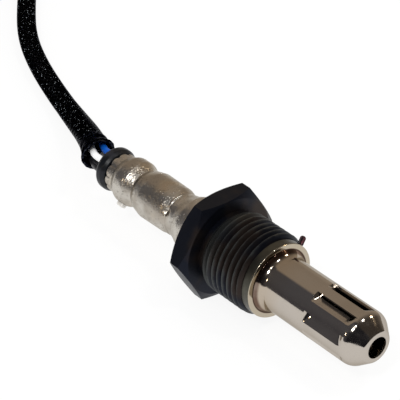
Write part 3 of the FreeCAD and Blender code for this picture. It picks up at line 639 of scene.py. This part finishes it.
route = [sleeve_start, sleeve_start + mouth_way * 0.0085, Vector((-0.0656, 0.0114, -0.0066)),
         Vector((-0.0782, 0.0159, cord_low)), Vector((-0.0929, 0.0208, cord_low)),
         Vector((-0.1056, 0.0266, cord_low)), Vector((-0.1176, 0.0349, cord_low)),
         Vector((-0.1445, 0.0562, cord_low))]
coil_step = coil_turn / coil_steps
outside = coil_radius / math.cos(math.radians(coil_step / 2))
for k in range(coil_steps):
    wound = (k + 0.5) * coil_step
    layers = sum(min(1.0, max(0.0, (wound - start) / layer_run)) for start in layer_starts)
    turn = math.radians(coil_start + wound)
    route.append(Vector((coil_middle.x + outside * math.cos(turn), coil_middle.y + outside * math.sin(turn),
                         cord_low + layers * layer_rise)))
route += [Vector(point) for point in (
    (-0.16986, 0.06504, 0.0020), (-0.18216, 0.06504, 0.0020), (-0.19352, 0.06034, 0.00055),
    (-0.20222, 0.05164, -0.00206), (-0.20693, 0.04028, -0.0038), (-0.20693, 0.02768, -0.0038))]

lead_line = line_through("lead_line", route)
centreline = [v.co.copy() for v in bpy.data.meshes.new_from_object(lead_line).vertices]
bpy.data.objects.remove(lead_line)

facets = 48
mouth_flare, flare_run = 0.00048, 0.030
thinning, thinnest_at, thinning_run = 0.00028, 0.09, 0.05
places, faces, lengths = [], [], []
side = mouth_way.cross(Vector((0, 0, 1))).normalized()
gone = 0.0
for i, point in enumerate(centreline):
    ahead = (centreline[min(i + 1, len(centreline) - 1)] - centreline[max(i - 1, 0)]).normalized()
    side = (side - ahead * side.dot(ahead)).normalized()
    up = ahead.cross(side)
    if i:
        gone += (point - centreline[i - 1]).length
    lengths.append(gone)
    tight = min(1.0, gone / thinnest_at) * max(0.0, min(1.0, 1 - (gone - thinnest_at) / thinning_run))
    swell = mouth_flare * max(0.0, 1 - gone / flare_run) - thinning * tight
    for k in range(facets):
        turn = math.tau * k / facets
        places.append(point + (side * math.cos(turn) + up * math.sin(turn)) * (cord_radius + swell))
rings = len(centreline)
for i in range(rings - 1):
    for k in range(facets):
        on = (k + 1) % facets
        faces.append((i * facets + k, i * facets + on, (i + 1) * facets + on, (i + 1) * facets + k))
faces += [tuple(range(facets))[::-1], tuple(range((rings - 1) * facets, rings * facets))]
sleeve_mesh = bpy.data.meshes.new("sleeve")
sleeve_mesh.from_pydata(places, [], faces)
braid_map = sleeve_mesh.uv_layers.new(name="braid")
for face in sleeve_mesh.polygons:
    if len(face.vertices) != 4:
        continue
    ring, k = divmod(face.vertices[0], facets)
    corners = [(k, ring), (k + 1, ring), (k + 1, ring + 1), (k, ring + 1)]
    for loop, (around, row) in zip(face.loop_indices, corners):
        braid_map.data[loop].uv = (around / facets, lengths[row] * 1000)
sleeve = bpy.data.objects.new("sleeve", sleeve_mesh)
bpy.context.scene.collection.objects.link(sleeve)
made_smooth(sleeve, 60)


def sine(value):
    return value.math("SINE", value)


strands_round, strands_per_mm = 12, 0.5
braid = Finish("braided_sleeve", Specular_Tint=(0.05, 0.05, 0.06, 1))
around, along, _ = braid.apart(braid.add("ShaderNodeUVMap", {"uv_map": "braid"}, {}))
left = around * (strands_round * math.tau) + along * (strands_per_mm * math.tau)
right = around * (strands_round * math.tau) - along * (strands_per_mm * math.tau)
weave = sine(left) * sine(right)
over = braid.fade(weave, -0.25, 0.25)
height = abs(sine(left * 0.5)) * over + abs(sine(right * 0.5)) * (1 - over)
filaments = braid.speckle(1500, 2)
# Pale bluish spots on some crossings, made less metallic: painted highlights standing in for the braid's
# sparkle.
painted_glint = braid.fade(abs(weave), 0.78, 0.96) * braid.fade(filaments, 0.57, 0.66)
# The colour darkens where the weave dips between crossings: painted shade in the gaps, which the bump alone
# leaves unshaded.
gap_shaded_strand = braid.blend(braid.fade(height, 0.4, 1.0), (0.0015, 0.0016, 0.0024), (0.022, 0.023, 0.027))
braid.wear({"Base Color": braid.blend(painted_glint, gap_shaded_strand, (0.80, 0.90, 1.0)),
            "Metallic": 1 - 0.6 * painted_glint, "Roughness": 0.14 + 0.14 * filaments})
braid.relief(height + 0.10 * filaments, 0.00026, 1.0)
fitted(sleeve, braid, "braided_sleeve", "cable_sleeve", "cable_coil", "cable_tail")


# Plug: a glass-filled nylon housing with a latch, a paler lock plate, a silicone seal in
# its skirt and a soft boot on the sleeve's end.
nylon = Finish("plug_plastic", IOR=1.5)
fibres = nylon.speckle(1700, 3)
nylon.mottle(fibres, (0.014, 0.014, 0.016), (0.026, 0.026, 0.029), 0.36, 0.2)
nylon.relief(fibres, 0.00004, 0.4)
finished(nylon, "plug_housing", "plug_core")
finished(rubber, "plug_boot")
lock_plastic = Finish("lock_plastic", IOR=1.5)
lock_plastic.mottle(lock_plastic.speckle(1400, 3), (0.20, 0.21, 0.23), (0.28, 0.29, 0.31), 0.35, 0.2)
finished(lock_plastic, "plug_lock")
silicone = Finish("seal_rubber", IOR=1.45)
silicone.mottle(silicone.speckle(900, 3), (0.25, 0.07, 0.03), (0.34, 0.11, 0.05), 0.4, 0.2)
finished(silicone, "plug_seal")
plug_insulation = Finish("core_insulation", IOR=1.5)
plug_insulation.mottle(plug_insulation.speckle(700, 3), (0.02, 0.02, 0.022), (0.04, 0.04, 0.043), 0.3, 0.15)
finished(plug_insulation, "plug_wires")


# Table, light and camera: a plain pale table under soft studio light, seen from where the
# photograph was taken. The camera sees plain white behind the part.
table_height = -0.0111
deselected()
bpy.ops.mesh.primitive_plane_add(size=6, location=(0, 0, table_height))
table = bpy.context.object
table.name = "table"
pale = Finish("pale_table", Roughness=0.6)
pale.wear({"Base Color": pale.blend(pale.speckle(3, 2), (0.90, 0.90, 0.90), (0.93, 0.93, 0.93))})
lit = Signal(pale, pale.shader.outputs[0])
glow = pale.add("ShaderNodeEmission", {}, {"Color": (1, 1, 1, 1), "Strength": 1.0})
seen = pale.rays("Is Camera Ray", "Is Glossy Ray", "Is Transmission Ray")
mixed = pale.add("ShaderNodeMixShader", {}, {0: 0.88 * seen, 1: lit, 2: glow})
pale.feed(pale.tree.nodes["Material Output"], {0: mixed})
table.data.materials.append(pale.material)

probe_middle, lamp_distance = Vector((0.02, 0, 0)), 0.8
cool, warm = (1, 1, 1), (1, 0.80, 0.55)
for name, way, size, watts, colour in (
        ("window", (0.310, -0.571, 0.753), 0.130, 2.2, cool),
        ("window_end", (0.33, -0.35, 0.876), 0.070, 0.5, cool),
        ("ceiling_white", (0.313, 0.223, 0.923), 0.085, 0.8, cool),
        ("ceiling_warm", (0.268, 0.740, 0.617), 0.105, 0.9, warm),
        ("shelf_warm", (-0.20, -0.887, 0.415), 0.060, 0.3, warm)):
    light = bpy.data.lights.new(name, "AREA")
    light.shape, light.size, light.energy, light.color = "DISK", size, watts, colour
    lamp = bpy.data.objects.new(name, light)
    lamp.location = probe_middle + lamp_distance * Vector(way)
    lamp.rotation_euler = (probe_middle - lamp.location).to_track_quat("-Z", "Y").to_euler()
    bpy.context.scene.collection.objects.link(lamp)

world = bpy.data.worlds.new("studio")
bpy.context.scene.world = world
room = Nodes(world)
east, north, up = room.apart(room.add("ShaderNodeTexCoord", {}, {}, 0))
lit_wall = room.blend(room.fade(up, 0.05, 0.45), (0.52, 0.45, 0.37), (0.38, 0.315, 0.25))
dim_wall = room.blend(room.fade(up, 0.0, 0.5), (0.075, 0.072, 0.082), (0.10, 0.098, 0.108))
walls = room.blend(room.fade(north, -0.10, -0.24), lit_wall, dim_wall)
mirrored = room.blend(room.fade(east, -0.3, 0.35, 0.0, 0.85), walls, (0.004, 0.004, 0.007))
plain = room.blend(room.rays("Is Glossy Ray"), (0.84, 0.84, 0.84), mirrored)
room.feed(room.tree.nodes["Background"], {0: room.blend(room.rays("Is Camera Ray"), plain, (1, 1, 1))})
bpy.context.scene.view_settings.view_transform = "Standard"

looking_down, heading = 34.630, 40.221
lens = bpy.data.cameras.new("camera")
lens.lens, lens.sensor_width = 186.88, 36
lens.clip_start, lens.clip_end = 0.01, 20
camera = bpy.data.objects.new("camera", lens)
camera.location = (0.256015, -0.224206, 0.246395)
camera.rotation_euler = (math.radians(90 - looking_down), 0, math.radians(90 - heading))
bpy.context.scene.collection.objects.link(camera)
bpy.context.scene.camera = camera
